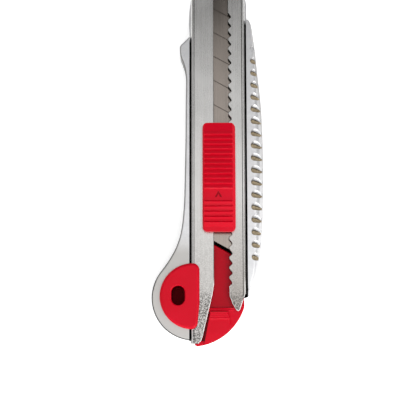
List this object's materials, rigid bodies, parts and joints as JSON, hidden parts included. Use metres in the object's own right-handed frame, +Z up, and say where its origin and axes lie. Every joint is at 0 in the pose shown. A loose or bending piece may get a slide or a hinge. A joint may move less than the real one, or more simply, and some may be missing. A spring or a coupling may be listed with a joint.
{
  "type": "snap-off utility knife",
  "caption": "Heavy-duty snap-off utility knife with a metal handle, notched steel blade channel, ribbed locking thumb slider, spare blade stack, lanyard eyelet and pull-out end cap.",
  "frame": {"origin": "centre of the knife's outline in plan, on the flat back it lies on", "axes": "+Y along the knife to the nose, +X to the palm side that carries the finger grooves, +Z up through the slider"},
  "size_m": [0.0442, 0.158, 0.0153],
  "materials": {
    "casting": "satin silver coat",
    "channel": "lengthwise brushed",
    "blade_steel": "lightly oiled",
    "spring_steel": "plain",
    "screw_steel": "bright",
    "carrier": "plain",
    "red_plastic": "satin",
    "inner_plastic": "matte"
  },
  "bodies": {
    "handle": {"handle_casting": "casting", "blade_channel": "channel", "nose_block": "inner_plastic", "channel_screw_1": "screw_steel", "channel_screw_2": "screw_steel", "channel_screw_3": "screw_steel", "lanyard_eyelet": "red_plastic", "eyelet_screw_1": "screw_steel", "eyelet_screw_2": "screw_steel", "magazine_spring": "spring_steel"},
    "blade_slide": {"blade_carrier": "carrier", "blade_stud": "screw_steel", "working_blade": "blade_steel", "lock_spring": "spring_steel", "lock_spring_rivet": "screw_steel"},
    "button": {"thumb_button": "red_plastic"},
    "magazine": {"follower_plate": "inner_plastic", "spare_blade_1": "blade_steel", "spare_blade_2": "blade_steel", "spare_blade_3": "blade_steel"},
    "cap": {"end_cap": "red_plastic", "cap_latch_spring": "spring_steel"}
  },
  "joints": [
    {"name": "slider_travel", "type": "slide", "parent": "handle", "child": "blade_slide", "axis": [0, 1, 0], "range_m": [0, 0.0538], "deforming": ["lock_spring"]},
    {"name": "button_shift", "type": "slide", "parent": "blade_slide", "child": "button", "axis": [0, 1, 0], "range_m": [-0.0009, 0.0009], "stiffness_N_per_m": 400},
    {"name": "magazine_press", "type": "slide", "parent": "handle", "child": "magazine", "axis": [0, 0, -1], "range_m": [0, 0.0006], "stiffness_N_per_m": 500, "springref_m": -0.002, "deforming": ["magazine_spring"]},
    {"name": "end_cap_pull", "type": "slide", "parent": "handle", "child": "cap", "axis": [0, -1, 0], "range_m": [0, 0.045], "deforming": ["cap_latch_spring"]}
  ]
}
